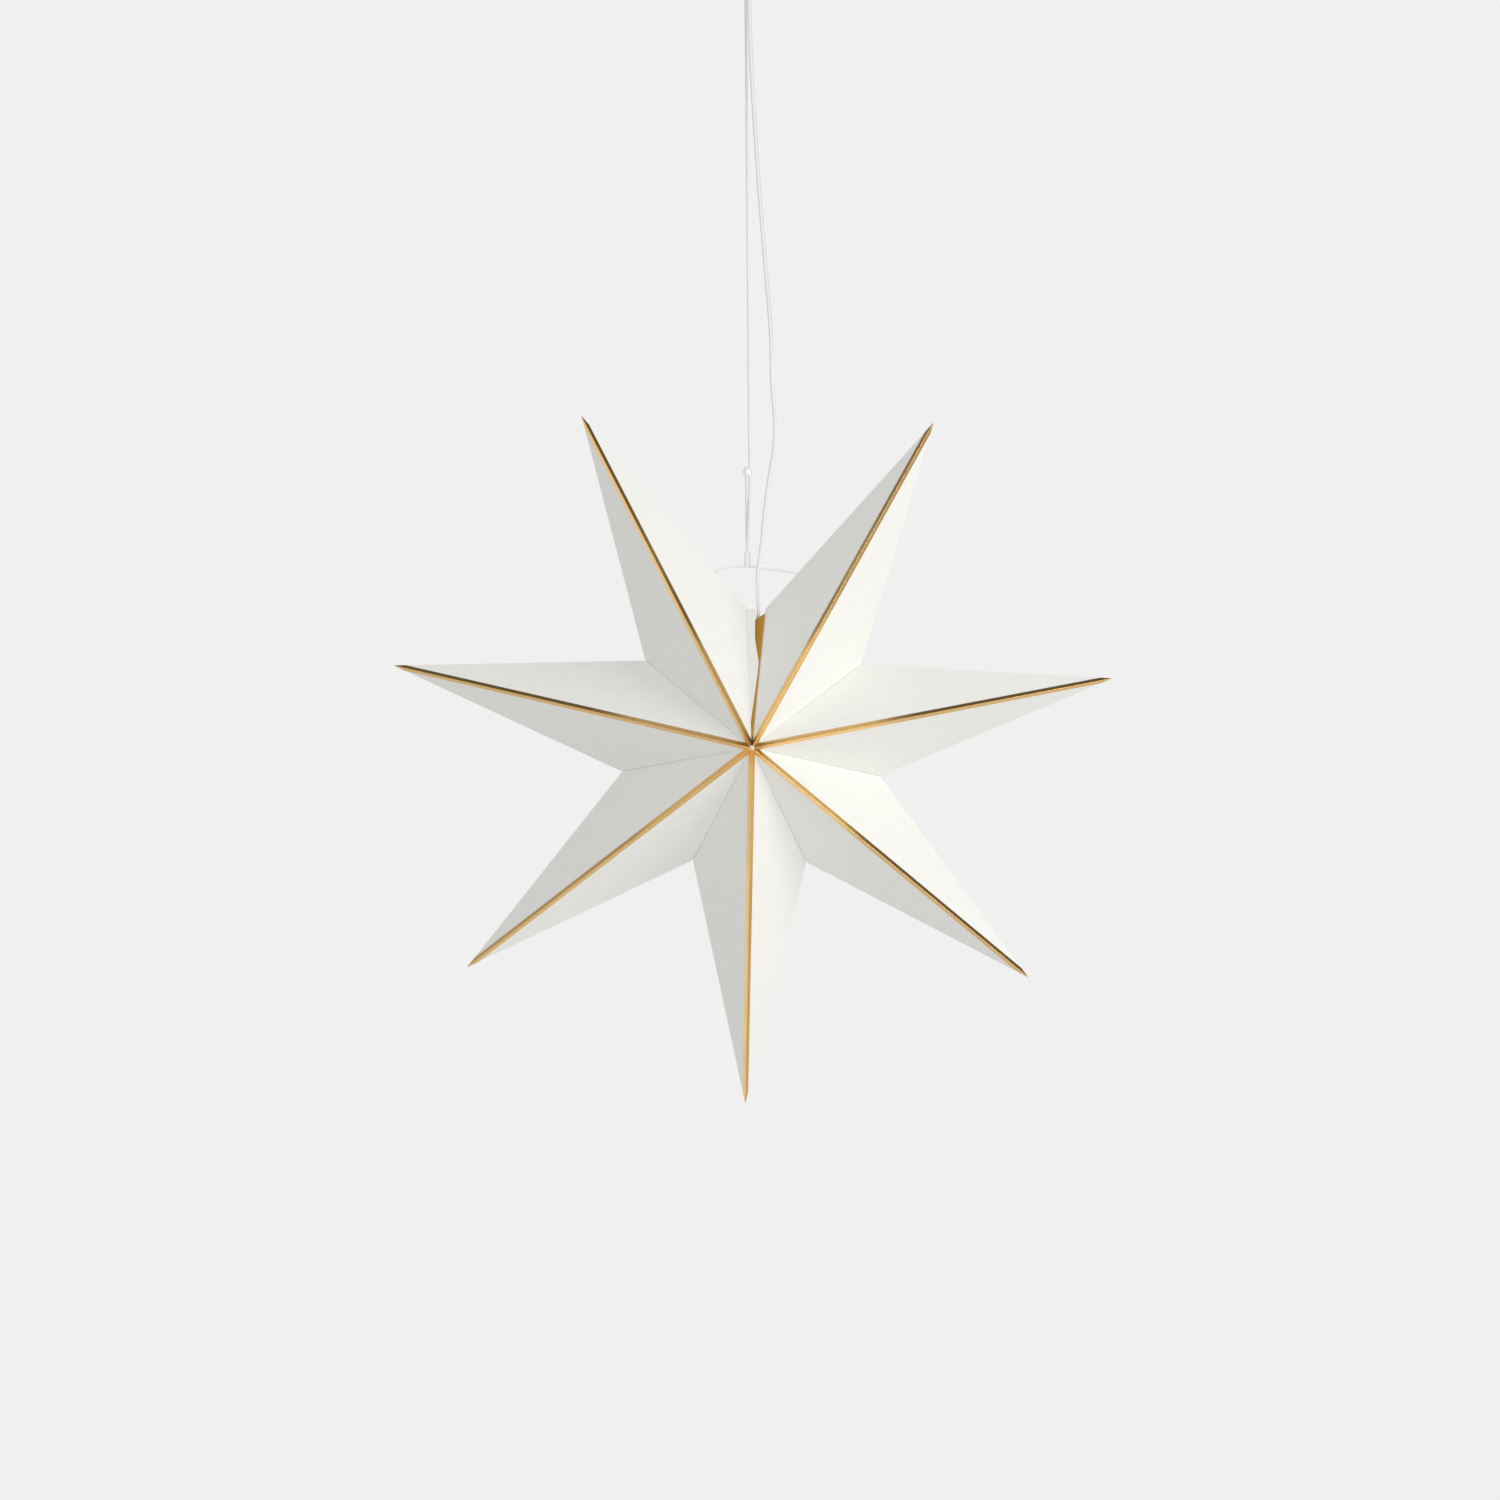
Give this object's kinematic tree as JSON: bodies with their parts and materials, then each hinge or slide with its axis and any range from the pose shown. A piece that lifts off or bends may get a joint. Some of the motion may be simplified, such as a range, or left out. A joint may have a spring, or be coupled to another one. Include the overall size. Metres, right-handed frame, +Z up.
{
  "type": "paper star lantern",
  "caption": "Folded white card star lantern with gilded ridges, hung on a cord, with a wire hanger, lampholder, bulb and flat lead with plug.",
  "frame": {"origin": "centre of the bore of the hanging ring at the top of the suspension cord", "axes": "+Z up along the taut cord, -Y out of the lantern's front, +X to the right seen from the front"},
  "size_m": [0.5898, 0.19, 1.0533],
  "materials": {
    "card": "smooth matt white card",
    "foil": "hot-stamped metallic gold foil",
    "wire": "white coated wire",
    "cord": "fine white braid",
    "bead": "glossy white",
    "clip": "moulded white",
    "ring": "moulded white",
    "holder": "white thermoplastic",
    "insert": "unglazed",
    "contacts": "pressed sheet",
    "opal": "white coated glass bulb",
    "lead": "white vinyl sheath",
    "plug": "moulded white vinyl",
    "pins": "nickel plated"
  },
  "bodies": {
    "root": {"point_1": "card", "point_2": "card", "point_3": "card", "point_4": "card", "point_5": "card", "point_6": "card", "point_7": "card", "gold_edge_1": "foil", "gold_edge_2": "foil", "gold_edge_3": "foil", "gold_edge_4": "foil", "gold_edge_5": "foil", "gold_edge_6": "foil", "gold_edge_7": "foil", "gold_seam_tab": "foil", "hanger_wire": "wire", "cord_clip": "clip", "suspension_cord": "cord", "cord_return": "cord", "cord_bead": "bead", "hanging_ring": "ring", "holder_cap": "holder", "holder_skirt": "holder", "holder_insert": "insert", "contact_shell": "contacts", "contact_spring": "contacts", "cord_grip": "holder", "bulb": "opal", "lead": "lead", "lead_coil": "lead", "coil_tie": "clip", "lead_tail": "lead", "plug_relief": "plug", "plug_body": "plug", "plug_pins": "pins"}
  },
  "joints": []
}
